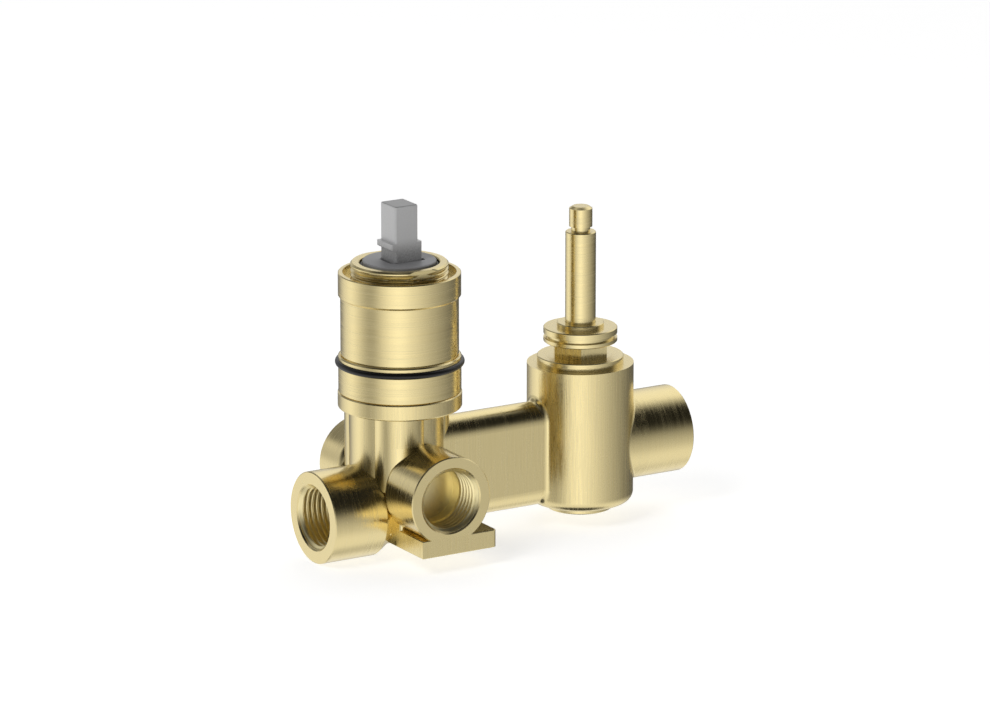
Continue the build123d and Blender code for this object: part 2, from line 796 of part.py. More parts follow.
# Lever pin
with BuildPart() as lever_pin:
    with BuildSketch(Plane.XZ.offset(-pin_half_length)):
        with Locations((0, pin_z)):
            Circle(pin_r)
    extrude(amount=2 * pin_half_length)
save(lever_pin, "lever_pin")

# Lever stem: square head, shoulder, tab, shank and ball end
with BuildPart() as lever_stem:
    with BuildSketch(Plane.XZ):
        with BuildLine():
            Polyline(
                (-stem_half_x, stem_base_z),
                (-stem_half_x, shoulder_z - tab_height - tab_chamfer),
                (-stem_half_x - tab_reach, shoulder_z - tab_height),
                (-stem_half_x - tab_reach, shoulder_z),
                (-stem_half_x, shoulder_z),
                (-stem_half_x, stem_top_z),
                (stem_half_x, stem_top_z),
                (stem_half_x, shoulder_z),
                (stem_half_x + shoulder_step, shoulder_z),
                (stem_half_x + shoulder_step, stem_base_z),
                close=True,
            )
        make_face()
    extrude(amount=stem_half_y, both=True)
    fillet(lever_stem.edges().filter_by(Axis.Z), radius=stem_round)
    chamfer(lever_stem.faces().sort_by(Axis.Z)[-1].edges(), length=stem_edge)
    with BuildSketch(Plane.XY.offset(stem_base_z)):
        Rectangle(2 * shank_half_x, 2 * shank_half_y)
    extrude(amount=-(stem_base_z - guide_bottom_z - guide_slot_depth))
    ring(0, ball_neck_r, ball_z, guide_bottom_z + guide_slot_depth)
    with BuildSketch(Plane.XZ):
        with BuildLine():
            CenterArc((0, ball_z), ball_r, -90, 180)
            Line((0, ball_z - ball_r), (0, ball_z + ball_r))
        make_face()
    revolve(axis=Axis.Z)
    with BuildSketch(Plane.XZ.offset(-stem_half_y)):
        with Locations((0, pin_z)):
            Circle(pin_r + pin_clearance)
    extrude(amount=2 * stem_half_y, mode=Mode.SUBTRACT)
save(lever_stem, "lever_stem")

# Diverter bonnet, turned from hexagon bar
with BuildPart() as diverter_bonnet:
    bonnet_seal_z = tower_top_z - bonnet_seal_drop
    bonnet_seal_half = bonnet_seal_section_r + groove_clearance
    turn([
        (0, bonnet_bottom_z),
        (bonnet_thread_r - seam_chamfer, bonnet_bottom_z),
        (bonnet_thread_r, bonnet_bottom_z + seam_chamfer),
        (bonnet_thread_r, bonnet_seal_z - bonnet_seal_half),
        (bonnet_thread_r - 2 * bonnet_seal_section_r, bonnet_seal_z - bonnet_seal_half),
        (bonnet_thread_r - 2 * bonnet_seal_section_r, bonnet_seal_z + bonnet_seal_half),
        (bonnet_thread_r, bonnet_seal_z + bonnet_seal_half),
        (bonnet_thread_r, tower_top_z),
        (bonnet_flange_r, tower_top_z),
        (bonnet_flange_r, bonnet_flange_top_z - edge_break),
        (bonnet_flange_r - edge_break, bonnet_flange_top_z),
        (0, bonnet_flange_top_z),
    ], tower_section)
    with BuildSketch(Plane.XY.offset(bonnet_flange_top_z)):
        with Locations((tower_x, 0)):
            RegularPolygon(hex_flats / 2, 6, major_radius=False)
    extrude(amount=hex_top_z - bonnet_flange_top_z)
    turn([
        (0, hex_top_z),
        (groove_disc_r - edge_break, hex_top_z),
        (groove_disc_r, hex_top_z + edge_break),
        (groove_disc_r, groove_z),
        (groove_bottom_r, groove_z),
        (groove_bottom_r, groove_z + groove_height),
        (groove_disc_r, groove_z + groove_height),
        (groove_disc_r, groove_disc_top_z - edge_break),
        (groove_disc_r - edge_break, groove_disc_top_z),
        (step_r, groove_disc_top_z),
        (step_r, bonnet_top_z - edge_break),
        (step_r - edge_break, bonnet_top_z),
        (0, bonnet_top_z),
    ], tower_section)
    guide_bore_r = spindle_r + spindle_clearance
    ring(0, guide_bore_r, bonnet_bottom_z, bonnet_top_z, tower_section, Mode.SUBTRACT)
    ring(0, stop_bore_r, bonnet_bottom_z, stop_shoulder_z, tower_section, Mode.SUBTRACT)
    for z in (lower_spindle_seal_z, upper_spindle_seal_z):
        half_groove = seal_section_r + groove_clearance
        groove_r = spindle_r + 2 * seal_section_r + spindle_clearance + groove_clearance
        ring(0, groove_r, z - half_groove, z + half_groove, tower_section, Mode.SUBTRACT)
save(diverter_bonnet, "diverter_bonnet")

# Bonnet seal, in the groove under the flange
with BuildPart() as bonnet_seal:
    o_ring(bonnet_thread_r - bonnet_seal_section_r, bonnet_seal_section_r, bonnet_seal_z, tower_section)
save(bonnet_seal, "bonnet_seal")

# Spindle seals
for level, z in (("lower", lower_spindle_seal_z), ("upper", upper_spindle_seal_z)):
    with BuildPart() as spindle_seal:
        o_ring(spindle_r + seal_slip + seal_section_r, seal_section_r, z, tower_section)
    save(spindle_seal, f"{level}_spindle_seal")

# Spindle: head, undercut, rod, stop collar, shaft and tail
with BuildPart() as diverter_spindle:
    head_top_z = spindle_head_z + head_height
    turn([
        (0, seat_z - nut_height),
        (tail_r, seat_z - nut_height),
        (tail_r, piston_top_z),
        (shaft_r, piston_top_z),
        (shaft_r, bonnet_bottom_z),
        (stop_collar_r, bonnet_bottom_z),
        (stop_collar_r, bonnet_bottom_z + stop_height),
        (spindle_r, bonnet_bottom_z + stop_height),
        (spindle_r, spindle_top_z - edge_break),
        (spindle_r - edge_break, spindle_top_z),
        (undercut_r, spindle_top_z),
        (undercut_r, spindle_head_z),
        (head_r, spindle_head_z),
        (head_r, head_top_z),
        (head_r - head_chamfer, head_top_z + head_chamfer_height),
        (0, head_top_z + head_chamfer_height),
    ], tower_section)
save(diverter_spindle, "diverter_spindle")

# Piston with six through passages and two seal grooves
with BuildPart() as diverter_piston:
    piston_r = piston_bore_r - piston_clearance
    ring(tail_r, piston_r, washer_top_z, piston_top_z, tower_section)
    piston_seal_z = (washer_top_z + piston_seal_inset, piston_top_z - piston_seal_inset)
    piston_seal_outer_r = piston_bore_r - seal_slip
    piston_groove_r = piston_seal_outer_r - 2 * piston_seal_section_r - seal_slip
    for z in piston_seal_z:
        half_groove = piston_seal_section_r + seal_slip
        ring(piston_groove_r, piston_r, z - half_groove, z + half_groove, tower_section, Mode.SUBTRACT)
    with BuildSketch(Plane.XY.offset(washer_top_z)):
        with Locations((tower_x, 0)):
            with PolarLocations(passage_pitch_r, passage_count):
                Circle(passage_r)
    extrude(amount=piston_land, mode=Mode.SUBTRACT)
save(diverter_piston, "diverter_piston")

# Piston seals
for level, z in zip(("lower", "upper"), piston_seal_z):
    with BuildPart() as piston_seal:
        o_ring(piston_seal_outer_r - piston_seal_section_r, piston_seal_section_r, z, tower_section)
    save(piston_seal, f"{level}_piston_seal")

# Seat washer, which closes the lower outlet when the spindle is down
with BuildPart() as seat_washer:
    ring(tail_r, washer_r, seat_z + seal_slip, washer_top_z, tower_section)
save(seat_washer, "seat_washer")

# Piston nut
with BuildPart() as piston_nut:
    with BuildSketch(Plane.XY.offset(seat_z + seal_slip)):
        with Locations((tower_x, 0)):
            RegularPolygon(nut_flats / 2, 6, major_radius=False)
            Circle(tail_r, mode=Mode.SUBTRACT)
    extrude(amount=-nut_height - seal_slip)
save(piston_nut, "piston_nut")
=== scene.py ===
from math import cos, pi, radians, sin, tau

import bpy
from mathutils import Matrix, Vector


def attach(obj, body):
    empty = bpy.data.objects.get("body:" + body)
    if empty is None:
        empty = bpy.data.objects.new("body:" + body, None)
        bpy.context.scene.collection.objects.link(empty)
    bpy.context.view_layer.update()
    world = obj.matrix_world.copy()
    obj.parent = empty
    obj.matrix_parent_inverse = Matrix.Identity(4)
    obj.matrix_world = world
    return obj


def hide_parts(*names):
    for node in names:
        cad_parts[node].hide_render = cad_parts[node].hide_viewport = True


# Concealed shower mixer and diverter body. Lengths are in metres.
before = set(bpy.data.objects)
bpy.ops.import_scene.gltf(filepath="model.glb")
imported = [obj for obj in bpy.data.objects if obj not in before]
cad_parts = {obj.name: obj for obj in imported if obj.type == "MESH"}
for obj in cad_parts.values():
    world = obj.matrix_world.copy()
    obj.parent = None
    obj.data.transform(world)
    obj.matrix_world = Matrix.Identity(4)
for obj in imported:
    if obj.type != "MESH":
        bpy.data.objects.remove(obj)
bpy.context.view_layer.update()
MM = 0.001

# Photo's view: the camera stands to the left of the front, a little above
VIEW_AZIMUTH = radians(31.02)
VIEW_ELEVATION = radians(15.23)
VIEW_DISTANCE = 1987.0 * MM
VIEW_TARGET = Vector((0.0, 0.0, 46.265)) * MM
VIEW_RIGHT_OFFSET = 30.55 * MM
VIEW_UP_OFFSET = 9.62 * MM
FOCAL_PIXELS = 6182.0
PHOTO_WIDTH = 990
SENSOR_WIDTH = 36.0
CLIP_END = 20.0

# Places of the two towers and the lowest point of the casting
DIVERTER_X = 68.15 * MM
FLOOR_Z = -6.05 * MM

# Port mouths, and where the bores end behind the threads
LOWER_MOUTH_X = -32.36 * MM
UPPER_MOUTH_X = 103.5 * MM
HOT_MOUTH_Y = -32.34 * MM
COLD_MOUTH_Y = 27.6 * MM
SIDE_PORT_Z = 17.8 * MM
LOW_PORT_Z = 9.0 * MM
TOP_PORT_Z = 19.4 * MM
SIDE_BORE_END = 12.9 * MM
LOW_BORE_END = -16.8 * MM
TOP_BORE_END = 88.0 * MM
SIDE_THREAD = 10.65 * MM
OUTLET_THREAD = 13.9 * MM

# G1/2 thread in the ports
PIPE_PITCH = 1.814 * MM
PIPE_ROOT_R = 10.45 * MM
PIPE_CREST_R = 9.32 * MM
RUN_OUT = PIPE_PITCH / 1.5
LINER_OUTER_R = 10.5 * MM
MOUTH_DEPTH = 0.47 * MM
MOUTH_R = 10.48 * MM
LINER_ROWS = 130
LINER_STEPS = 160

# Retaining nut, with a fine thread outside and two wrench flats
NUT_BOTTOM = 79.0 * MM
NUT_TOP = 89.7 * MM
NUT_R = 15.75 * MM
NUT_ROOT_R = 14.9 * MM
NUT_BORE_R = 12.9 * MM
NUT_FLAT = 14.85 * MM
NUT_PITCH = 1.5 * MM
NUT_CHAMFER = 0.55 * MM
NUT_EDGE = 0.3 * MM
NUT_PLAIN_COLLAR = 0.9 * MM
NUT_ROWS = 96
NUT_STEPS = 256
SMALLEST_SINE = 1e-6
SHARP_EDGE = radians(38)

# Diverter bonnet's hexagon
HEXAGON_BOTTOM = 49.55 * MM
HEXAGON_TOP = 54.1 * MM

# Stem: painted light makes the head's sides pale down to a little above the shoulder, and it fades out to
# the grainy grey of the foot a little below the shoulder; its top face keeps a plain grey
SHOULDER_Z = 96.6 * MM
STEM_TOP_Z = 108.8 * MM
PAINTED_LIGHT_FROM_Z = SHOULDER_Z + 2.0 * MM
NO_PAINTED_LIGHT_UP_TO_Z = SHOULDER_Z - 4.5 * MM
CROWN_Z = STEM_TOP_Z - 0.15 * MM
AS_CAST_GREYS = (0.21, 0.71)
# Pale greys of the painted light on the head's sides, then the plain grey of the top face
PAINTED_LIGHT_GREYS = (0.80, 0.90)
TOP_FACE_GREYS = (0.44, 0.56)

# Where the brush direction of the casting changes. Lines on the bar and the outlets run round an axis
# midway between the outlets' own.
LEFT_PORT_X = -13.5 * MM
BAR_LEFT_X = 16.8 * MM
BAR_RIGHT_X = 50.8 * MM
RIGHT_PORT_X = 86.6 * MM
CUP_START_Y = 13.0 * MM
CUPS_LEFT_X = -14.6 * MM
CUPS_RIGHT_X = 14.8 * MM
CUPS_TOP_Z = 32.6 * MM
CUPS_BOTTOM_Z = 5.9 * MM
ROUND_X_AXIS_Z = 14.0 * MM

# Brushing: places are scaled up across the lines, and less along them or by the angle round an axis
ACROSS = 1000.0
ALONG = 45.0
ALONG_LEVEL = 60.0
TURNED_BY_ANGLE = 0.15
CAST_BY_ANGLE = 0.6
STREAK_SCALE_TURNED = 1.3
STREAK_SCALE_CAST = 1.2
STREAK_SHARE = 0.9
STREAK_CONTRAST = 1.5
STREAK_GLOSS = 0.4
GRAIN_GLOSS = 0.2
LEVEL_FACE = 0.9
LEVEL_CALMING = 0.75
CAST_ROUGHNESS = 0.22
UPRIGHT_ROUGHNESS = 0.055
BORE_ROUGHNESS = 0.35

# Scales of the fine grain
TURNED_GRAIN = 1500.0
CAST_GRAIN = 1300.0
BORE_GRAIN = 2000.0
BORE_MOTTLE = 900.0
STEM_GRAIN = 1700.0
RUBBER_GRAIN = 1800.0
GUIDE_GRAIN = 1600.0
CERAMIC_GRAIN = 2500.0
MOULDED_GRAIN = 900.0

# Brass tones, and the depth of each finish's relief
BRASS = (0.92, 0.785, 0.425)
BRASS_DEEP = (0.80, 0.66, 0.33)
# Brass of the port bores, painted lighter than the outside's as painted light inside the ports
BORE_BRASS_WITH_PAINTED_LIGHT = (1.0, 0.84, 0.44)
PALER_BORE_BRASS_WITH_PAINTED_LIGHT = (1.0, 0.90, 0.52)
BRUSH_RELIEF = 0.025 * MM
FINE_RELIEF = 0.005 * MM
MOULDED_RELIEF = 0.02 * MM
STEM_RELIEF = 0.05 * MM

# Brightness a little below the horizon, by the angle from the camera's side, in degrees to the right
RING = [
    (-180, 0.18), (-160, 0.22), (-145, 0.42), (-130, 0.78), (-116, 0.97), (-104, 1.10), (-94, 1.0),
    (-80, 0.74), (-66, 0.50), (-57, 0.44), (-47, 0.52), (-36, 0.78), (-22, 1.06), (-8, 1.26), (4, 1.28),
    (20, 1.06), (40, 0.82), (60, 0.60), (80, 0.43), (100, 0.29), (120, 0.18), (140, 0.11), (160, 0.11),
    (180, 0.18),
]
# Share of it left at greater elevations on the camera's side, and brightness on the far side
FRONT_RISE = [(-15, 1.0), (2, 0.62), (17, 0.14), (28, 0.03), (55, 0.03), (68, 0.08), (80, 0.16), (90, 0.22)]
BACK_RISE = [(-15, 0.26), (0, 0.54), (15, 0.77), (32, 1.0), (47, 1.06), (62, 1.0), (90, 0.72)]
FLOOR_GLOW = 0.92
UNDERSIDE_DIMMING = 0.94
BRIGHTEST = 1.4
# A dim patch behind on the left, high up
PATCH_TOWARDS = (-0.15, 0.80, 0.58)
PATCH_OUTER_COSINE = 0.89
PATCH_INNER_COSINE = 0.965
PATCH_DIMMING = 0.75
# Elevations where the far side, the floor's glow and the dim ground below it set in and are full,
# from 0 straight down to 1 straight up
BACK_FROM = 0.445
BACK_FULL = 0.53
FLOOR_FROM = 0.433
FLOOR_FULL = 0.25
UNDERSIDE_FROM = 0.19
UNDERSIDE_FULL = 0.10
# How far towards the back the far side is full
BACK_TOWARDS = -0.5

# Soft key light: its place from the object towards the camera, to the left and up
KEY_NEARER = 0.9
KEY_LEFT = 0.7
KEY_UP = 0.9
KEY_SIZE = 0.7
KEY_WATTS = 6.0

# Floor
FLOOR_HALF = 6.0
FLOOR_GREY = 0.8
FLOOR_OWN_LIGHT = 0.70


class Value:
    """A socket in a node tree. Sums and products of values add the Math nodes for them."""

    def __init__(self, tree, socket):
        self.tree = tree
        self.socket = socket

    def node(self, kind, settings=None, sockets=None, output=0):
        """Add a node, apply its settings, then set or link its input sockets."""
        return add_node(self.tree, kind, settings, sockets, output)

    def output(self, name):
        """Another output of the node that this value comes from."""
        return Value(self.tree, self.socket.node.outputs[name])

    def math(self, operation, *terms):
        return self.node("ShaderNodeMath", {"operation": operation}, dict(enumerate(terms)))

    def __add__(self, other):
        return self.math("ADD", self, other)

    __radd__ = __add__

    def __sub__(self, other):
        return self.math("SUBTRACT", self, other)

    def __rsub__(self, other):
        return self.math("SUBTRACT", other, self)

    def __mul__(self, other):
        return self.math("MULTIPLY", self, other)

    __rmul__ = __mul__

    def __truediv__(self, other):
        return self.math("DIVIDE", self, other)

    def __pow__(self, other):
        return self.math("POWER", self, other)

    def __lt__(self, other):
        return self.math("LESS_THAN", self, other)

    def __gt__(self, other):
        return self.math("GREATER_THAN", self, other)


def add_node(tree, kind, settings=None, sockets=None, output=0):
    """Add one node. A ramp's stops are given as (position, colour) pairs under the setting 'stops'."""
    made = tree.nodes.new(kind)
    for name, setting in (settings or {}).items():
        if name == "stops":
            elements = made.color_ramp.elements
            while len(elements) < len(setting):
                elements.new(1.0)
            for element, (position, colour) in zip(elements, setting):
                element.position = position
                element.color = colour
        elif name == "interpolation":
            made.color_ramp.interpolation = setting
        else:
            setattr(made, name, setting)
    for name, given in (sockets or {}).items():
        if isinstance(given, Value):
            tree.links.new(given.socket, made.inputs[name])
        else:
            made.inputs[name].default_value = given
    return Value(tree, made.outputs[output]) if made.outputs else Value(tree, None)


def new_material(name):
    """An empty node material, and its position value in metres of the object's frame."""
    material = bpy.data.materials.new(name)
    material.use_nodes = True
    material.node_tree.nodes.clear()
    place = add_node(material.node_tree, "ShaderNodeTexCoord").output("Object")
    return material, place


def split(vector):
    """The X, Y and Z of a vector value."""
    x = vector.node("ShaderNodeSeparateXYZ", sockets={0: vector})
    return x, x.output("Y"), x.output("Z")


def join(x, y, z):
    """A vector value of three parts, at least one of them a value."""
    tree = next(part.tree for part in (x, y, z) if isinstance(part, Value))
    return add_node(tree, "ShaderNodeCombineXYZ", sockets={0: x, 1: y, 2: z})


def noise(vector, scale, detail=2.0, roughness=0.5):
    """Soft random pattern from 0 to 1."""
    return vector.node(
        "ShaderNodeTexNoise",
        sockets={"Vector": vector, "Scale": scale, "Detail": detail, "Roughness": roughness},
    )


def smooth_step(value, start, end):
    """0 at the start, 1 at the end, easing in and out."""
    return value.node(
        "ShaderNodeMapRange",
        {"interpolation_type": "SMOOTHSTEP"},
        {0: value, 1: start, 2: end, 3: 0.0, 4: 1.0},
    )


def grey(level):
    return (level, level, level, 1.0)


def blend_colour(factor, first, second):
    """Mix two fixed colours by a value."""
    return factor.node(
        "ShaderNodeMix", {"data_type": "RGBA"}, {0: factor, 6: (*first, 1.0), 7: (*second, 1.0)}, output=2
    )


def pick_colour(factor, first, second):
    """Mix two colour values by a third value."""
    return factor.node("ShaderNodeMix", {"data_type": "RGBA"}, {0: factor, 6: first, 7: second}, output=2)


def pick_vector(factor, first, second):
    """The first vector where the factor is 0, the second where it is 1."""
    return factor.node("ShaderNodeMix", {"data_type": "VECTOR"}, {0: factor, 4: first, 5: second}, output=1)


def ramp(factor, stops, lowest, span, interpolation):
    """Brightness from a table of (degrees, level), where the factor runs from 0 to 1 over the span."""
    levels = [((angle - lowest) / span, grey(level / BRIGHTEST)) for angle, level in stops]
    share = factor.node("ShaderNodeValToRGB", {"stops": levels, "interpolation": interpolation}, {0: factor})
    return share * BRIGHTEST


def finish_metal(streaks, grain, roughness, colours=(BRASS_DEEP, BRASS), relief=BRUSH_RELIEF):
    """Brushed brass: streaks vary its tone and gloss and stand out as fine relief."""
    pattern = (streaks * STREAK_SHARE + grain * (1.0 - STREAK_SHARE) - 0.5) * STREAK_CONTRAST + 0.5
    bump = pattern.node(
        "ShaderNodeBump", sockets={"Strength": 1.0, "Distance": relief, "Height": pattern}
    )
    shader = pattern.node(
        "ShaderNodeBsdfPrincipled",
        sockets={
            "Base Color": blend_colour(pattern, *colours),
            "Metallic": 1.0,
            "Roughness": (pattern - 0.5) * STREAK_GLOSS + roughness,
            "Normal": bump,
        },
    )
    return shader


def turned_brass(name, axis_x, roughness=0.225, relief=BRUSH_RELIEF, flats_bottom=0.0, flats_top=0.0):
    """Brass turned about an upright axis: lines run round the axis, and up the flats of a hexagon."""
    material, place = new_material(name)
    x, y, z = split(place)
    across = x - axis_x
    radius = (across * across + y * y) ** 0.5
    turn = across.math("ARCTAN2", y, across)
    round_axis = join(turn * TURNED_BY_ANGLE, radius * ACROSS, z * ACROSS)
    upright = join(x * ACROSS, y * ACROSS, z * ALONG)
    on_flats = (z > flats_bottom) * (z < flats_top)
    where = pick_vector(on_flats, round_axis, upright)
    streaks = noise(where, STREAK_SCALE_TURNED, 3.0, 0.65)
    shader = finish_metal(streaks, noise(place, TURNED_GRAIN), roughness, relief=relief)
    shader.node("ShaderNodeOutputMaterial", sockets={"Surface": shader})
    return material


def near_axis(across, above):
    """1 within the radius of a port's thread, by the two distances from its axis."""
    return (across * across + above * above) ** 0.5 < LINER_OUTER_R


def cast_brass(name):
    """The casting's brushed brass. Lines run round the ports and the bar, and up the neck and tower."""
    material, place = new_material(name)
    x, y, z = split(place)
    upright = join(x * ACROSS, y * ACROSS, z * ALONG)
    around_x = join(x * ACROSS, y.math("ARCTAN2", y, z - ROUND_X_AXIS_Z) * CAST_BY_ANGLE, 0.0)
    around_y = join(y * ACROSS, x.math("ARCTAN2", x, z - SIDE_PORT_Z) * CAST_BY_ANGLE, 0.0)
    on_bar = (x > BAR_LEFT_X) * (x < BAR_RIGHT_X)
    along_x = (x < LEFT_PORT_X) + on_bar + (x > RIGHT_PORT_X)
    near_mixer = (x < CUPS_RIGHT_X) * (x > CUPS_LEFT_X) * (z < CUPS_TOP_Z) * (z > CUPS_BOTTOM_Z)
    along_y = (y.math("ABSOLUTE", y) > CUP_START_Y) * near_mixer
    on_walls = pick_vector(along_y, pick_vector(along_x, upright, around_x), around_y)
    facing_up = split(place.output("Normal"))[2]
    on_level = facing_up * facing_up > LEVEL_FACE
    level_lines = join(x * ACROSS, y * ALONG_LEVEL, z * ALONG_LEVEL)
    where = pick_vector(on_level, on_walls, level_lines)
    on_upright = (1.0 - along_x) * (1.0 - along_y)
    streaks = noise(where, STREAK_SCALE_CAST, 4.0, 0.7)
    calmed = (streaks - 0.5) * (1.0 - on_level * LEVEL_CALMING) + 0.5
    outside = finish_metal(
        calmed, noise(place, CAST_GRAIN), on_upright * UPRIGHT_ROUGHNESS + CAST_ROUGHNESS
    )
    in_side_port = near_axis(x, z - SIDE_PORT_Z) * (y.math("ABSOLUTE", y) > SIDE_BORE_END)
    in_low_port = near_axis(y, z - LOW_PORT_Z) * (x < LOW_BORE_END)
    in_top_port = near_axis(y, z - TOP_PORT_Z) * (x > TOP_BORE_END)
    # Port bores: a finer, rougher mottled finish, with their brass painted lighter as painted light inside
    # them
    soft_mottle = noise(place, BORE_MOTTLE) * 0.3 + 0.35
    bored_with_painted_light = finish_metal(
        soft_mottle, noise(place, BORE_GRAIN), BORE_ROUGHNESS, (BORE_BRASS_WITH_PAINTED_LIGHT, PALER_BORE_BRASS_WITH_PAINTED_LIGHT), FINE_RELIEF
    )
    inside = in_side_port + in_low_port + in_top_port
    shader = inside.node("ShaderNodeMixShader", sockets={0: inside, 1: outside, 2: bored_with_painted_light})
    shader.node("ShaderNodeOutputMaterial", sockets={"Surface": shader})
    return material


def plain(name, colour, roughness, metallic=0.0, grain_scale=MOULDED_GRAIN, mottle=0.12):
    """Moulded, cast or lapped material with a fine grain."""
    material, place = new_material(name)
    grain = noise(place, grain_scale, 3.0, 0.6)
    darker = tuple(c * (1 - mottle) for c in colour)
    lighter = tuple(min(1.0, c * (1 + mottle)) for c in colour)
    bump = grain.node(
        "ShaderNodeBump", sockets={"Strength": 0.5, "Distance": MOULDED_RELIEF, "Height": grain}
    )
    shader = grain.node(
        "ShaderNodeBsdfPrincipled",
        sockets={
            "Base Color": blend_colour(grain, darker, lighter),
            "Metallic": metallic,
            "Roughness": (grain - 0.5) * GRAIN_GLOSS + roughness,
            "Normal": bump,
        },
    )
    shader.node("ShaderNodeOutputMaterial", sockets={"Surface": shader})
    return material


def stem_casting(name):
    """Zinc casting, grainy at its foot. Painted light makes the square head's sides pale, with a finer
    grain, and fades out down over the shoulder, so the foot is darker; the top face keeps a plain grey.
    """
    material, place = new_material(name)
    height = split(place)[2]
    grain = noise(place, STEM_GRAIN, 3.0, 0.6)
    # Painted light on the head's sides, fading out towards the foot; the top face is left out of it
    painted_light_faded = smooth_step(height, PAINTED_LIGHT_FROM_Z, NO_PAINTED_LIGHT_UP_TO_Z)
    crown = height > CROWN_Z
    as_cast, lit_sides, top_face = (
        blend_colour(grain, [darkest] * 3, [lightest] * 3)
        for darkest, lightest in (AS_CAST_GREYS, PAINTED_LIGHT_GREYS, TOP_FACE_GREYS)
    )
    sides = pick_colour(painted_light_faded, lit_sides, as_cast)
    bump = grain.node("ShaderNodeBump", sockets={"Strength": 0.6, "Distance": STEM_RELIEF, "Height": grain})
    shader = grain.node(
        "ShaderNodeBsdfPrincipled",
        sockets={
            "Base Color": pick_colour(crown, sides, top_face),
            "Metallic": 0.35,
            "Roughness": (grain - 0.5) * GRAIN_GLOSS + 0.5,
            "Normal": bump,
        },
    )
    shader.node("ShaderNodeOutputMaterial", sockets={"Surface": shader})
    return material


sleeve_brass = turned_brass("turned brass, mixer", 0.0)
nut_brass = turned_brass("turned brass, ring nut", 0.0, 0.28, FINE_RELIEF)
bonnet_brass = turned_brass(
    "turned brass, diverter", DIVERTER_X, flats_bottom=HEXAGON_BOTTOM, flats_top=HEXAGON_TOP
)
body_brass = cast_brass("brushed cast brass")
rubber = plain("black rubber", (0.006, 0.006, 0.0065), 0.36, grain_scale=RUBBER_GRAIN)
black_plastic = plain("black plastic", (0.014, 0.014, 0.014), 0.45)
natural_plastic = plain("natural plastic", (0.62, 0.61, 0.56), 0.4)
guide_grey = plain("dark grey plastic", (0.37, 0.37, 0.38), 0.45, grain_scale=GUIDE_GRAIN)
stem_zinc = stem_casting("grey zinc casting")
pin_steel = plain("ground steel", (0.58, 0.58, 0.57), 0.25, 1.0)
ceramic = plain("lapped ceramic", (0.82, 0.82, 0.79), 0.18, grain_scale=CERAMIC_GRAIN, mottle=0.03)

FINISHES = {
    "valve_body": body_brass,
    "cartridge_sleeve": sleeve_brass,
    "diverter_bonnet": bonnet_brass,
    "diverter_spindle": bonnet_brass,
    "diverter_piston": bonnet_brass,
    "piston_nut": bonnet_brass,
    "cartridge_housing": black_plastic,
    "cartridge_base": natural_plastic,
    "disc_carrier": natural_plastic,
    "lever_guide": guide_grey,
    "lever_stem": stem_zinc,
    "lever_pin": pin_steel,
    "fixed_ceramic_disc": ceramic,
    "moving_ceramic_disc": ceramic,
}
for node_name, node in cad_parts.items():
    if node_name == "retaining_nut":
        continue
    finish = FINISHES.get(node_name, rubber)
    for material_slot in node.material_slots:
        material_slot.material = finish


def wall_of_revolution(name, outline_rows, steps, place, material):
    """Skin between rows of rings. Each row gives (radius, height) as a function of the angle."""
    points = []
    for row in outline_rows:
        for step in range(steps):
            angle = tau * step / steps
            radius, height = row(angle)
            points.append(place @ Vector((radius * cos(angle), radius * sin(angle), height)))
    faces = []
    rows = len(outline_rows)
    for row in range(rows):
        upper = (row + 1) % rows
        for step in range(steps):
            following = (step + 1) % steps
            faces.append((
                row * steps + step,
                row * steps + following,
                upper * steps + following,
                upper * steps + step,
            ))
    mesh = bpy.data.meshes.new(name)
    mesh.from_pydata(points, [], faces)
    mesh.shade_smooth()
    mesh.set_sharp_from_angle(angle=SHARP_EDGE)
    mesh.materials.append(material)
    piece = bpy.data.objects.new(name, mesh)
    bpy.context.collection.objects.link(piece)
    return piece


def fixed_row(radius, height):
    return lambda angle: (radius, height)


def thread_wave(along, angle, pitch):
    """Rounded thread form: 1 at a root, 0 at a crest, climbing one pitch a turn."""
    return 0.5 + 0.5 * cos(tau * (along / pitch - angle / tau))


def port_liner(name, mouth, axis, depth):
    """The threaded wall of a port, from its mouth inwards."""

    def inner_row(inwards):
        def at(angle):
            fade = min(1.0, max(0.0, (depth - inwards) / RUN_OUT))
            wave = thread_wave(inwards, angle, PIPE_PITCH) * fade
            threaded = PIPE_CREST_R + (PIPE_ROOT_R - PIPE_CREST_R) * wave
            lead_in = MOUTH_R - (inwards - MOUTH_DEPTH)
            return max(threaded, min(lead_in, PIPE_ROOT_R)), -inwards

        return at

    rows = [fixed_row(LINER_OUTER_R, -depth), fixed_row(LINER_OUTER_R, -MOUTH_DEPTH)]
    for row in range(LINER_ROWS + 1):
        rows.append(inner_row(MOUTH_DEPTH + (depth - MOUTH_DEPTH) * row / LINER_ROWS))
    turn = Vector((0, 0, 1)).rotation_difference(Vector(axis)).to_matrix().to_4x4()
    place = Matrix.Translation(Vector(mouth)) @ turn
    liner = wall_of_revolution(name, rows, LINER_STEPS, place, body_brass)
    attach(liner, "valve")


port_liner("hot_port_thread", (0, HOT_MOUTH_Y, SIDE_PORT_Z), (0, -1, 0), SIDE_THREAD)
port_liner("cold_port_thread", (0, COLD_MOUTH_Y, SIDE_PORT_Z), (0, 1, 0), SIDE_THREAD)
port_liner("lower_port_thread", (LOWER_MOUTH_X, 0, LOW_PORT_Z), (-1, 0, 0), OUTLET_THREAD)
port_liner("upper_port_thread", (UPPER_MOUTH_X, 0, TOP_PORT_Z), (1, 0, 0), OUTLET_THREAD)


